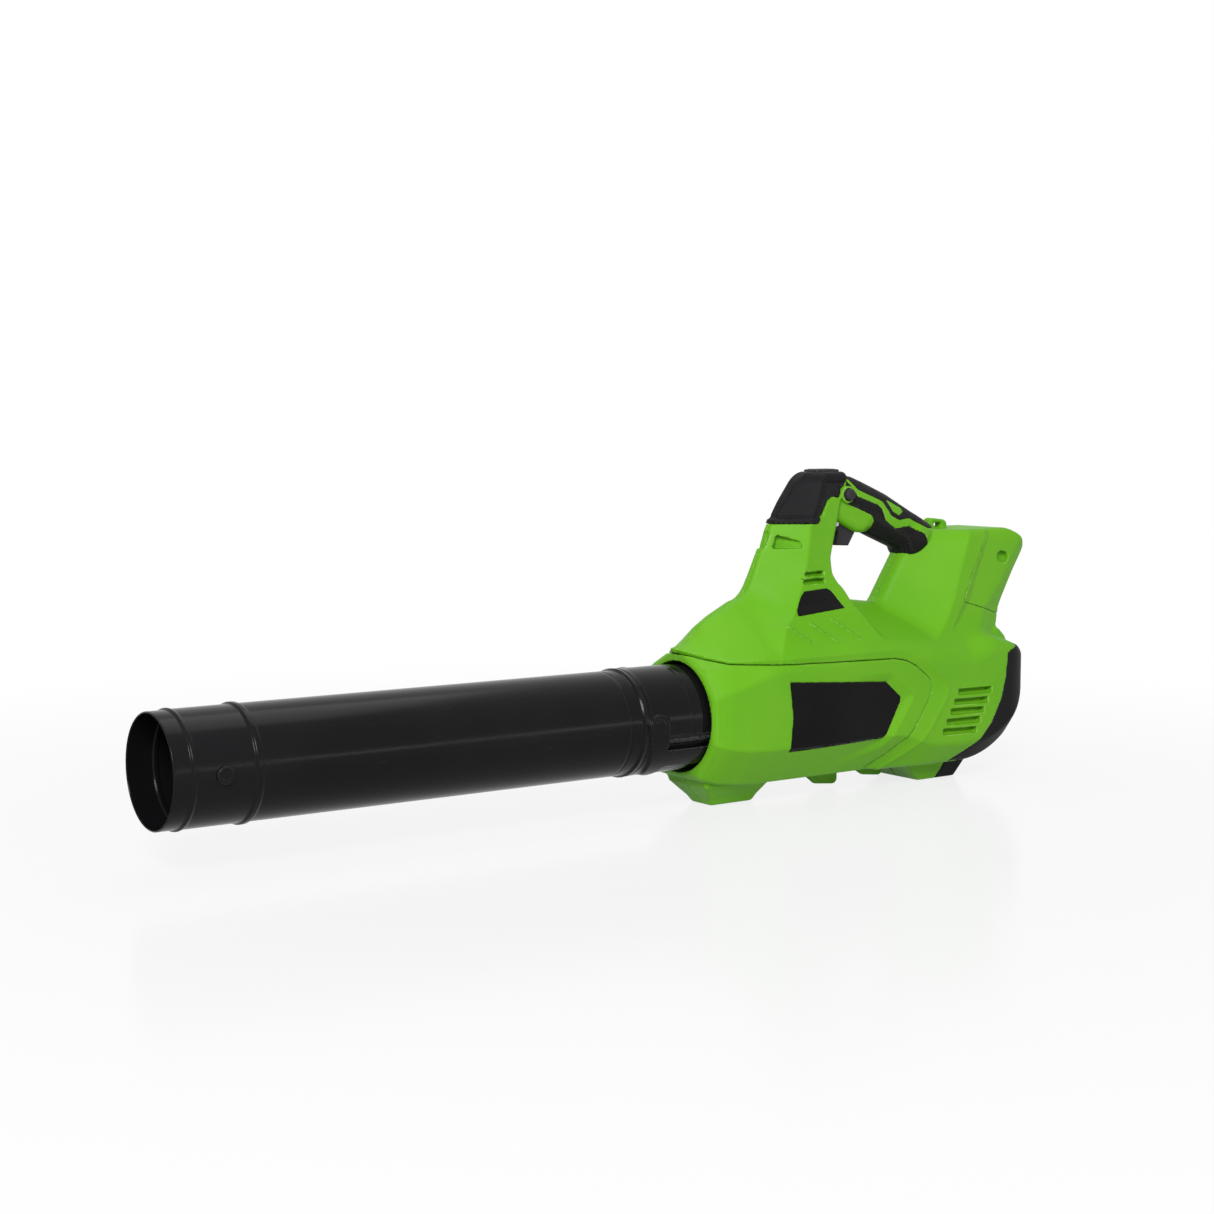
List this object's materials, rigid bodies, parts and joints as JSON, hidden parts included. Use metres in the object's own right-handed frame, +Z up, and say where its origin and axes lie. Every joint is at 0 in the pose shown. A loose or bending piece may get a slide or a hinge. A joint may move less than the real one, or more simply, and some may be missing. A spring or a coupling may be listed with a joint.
{
  "type": "leaf blower",
  "caption": "Cordless axial leaf blower with a long blow tube, bridge handle with trigger, and a sloping battery dock over a rear air intake.",
  "frame": {"origin": "centre of the footprint on the surface the blower stands on", "axes": "+X along the blow tube's axis towards the air intake, -X out of the mouth, +Y to the right side seen from behind, +Z up"},
  "size_m": [0.8856, 0.126, 0.2935],
  "materials": {
    "green": "fine moulded grain, satin",
    "tube_black": "smooth, half gloss",
    "gloss_black": "smooth inlay",
    "hood_black": "fine moulded grain",
    "button_grey": "satin",
    "soft_grip": "soft overmould with a fine honeycomb",
    "inner_black": "plain moulded",
    "steel": "machined",
    "copper": "wound and varnished",
    "contact_brass": "stamped",
    "board_green": "coated board"
  },
  "bodies": {
    "machine": {"tube_spigot": "inner_black", "cover_left": "green", "cover_right": "green", "side_badge_left": "gloss_black", "side_badge_right": "gloss_black", "housing_left": "green", "housing_right": "green", "post_badge_left": "gloss_black", "post_badge_right": "gloss_black", "handle_cap": "hood_black", "turbo_spring": "steel", "trigger_pin": "steel", "switch_body": "inner_black", "grip_left": "soft_grip", "grip_right": "soft_grip", "battery_dock": "green", "terminal_block": "inner_black", "terminals": "contact_brass", "intake_grille": "hood_black", "fan_duct": "inner_black", "tail_cone": "inner_black", "motor_can": "steel", "motor_end_cap": "inner_black", "front_bearing": "steel", "rear_bearing": "steel", "control_board": "board_green", "housing_screws": "steel", "grille_screws": "steel"},
    "tube": {"blow_tube": "tube_black"},
    "fan_rotor": {"fan": "inner_black", "fan_nut": "steel", "motor_shaft": "steel", "rotor": "copper"},
    "trigger": {"trigger": "button_grey"},
    "lock": {"lock_button": "button_grey"},
    "turbo": {"turbo_button": "button_grey"}
  },
  "joints": [
    {"name": "tube_twist", "type": "hinge", "parent": "machine", "child": "tube", "pos_m": [0.0425, 0, 0.08], "axis": [1, 0, 0], "range_deg": [-23, 0]},
    {"name": "fan_spin", "type": "hinge", "parent": "machine", "child": "fan_rotor", "pos_m": [0.3045, 0, 0.08], "axis": [1, 0, 0], "continuous": true},
    {"name": "trigger_pull", "type": "hinge", "parent": "machine", "child": "trigger", "pos_m": [0.2185, 0, 0.243], "axis": [0, 1, 0], "range_deg": [-9, 0], "stiffness_Nm_per_rad": 0.6, "springref_deg": 6.88},
    {"name": "lock_slide", "type": "slide", "parent": "machine", "child": "lock", "axis": [0, 1, 0], "range_m": [0, 0.004]},
    {"name": "turbo_press", "type": "slide", "parent": "machine", "child": "turbo", "axis": [0, 0, -1], "range_m": [0, 0.002], "stiffness_N_per_m": 600, "springref_m": -0.002, "deforming": ["turbo_spring"]}
  ]
}
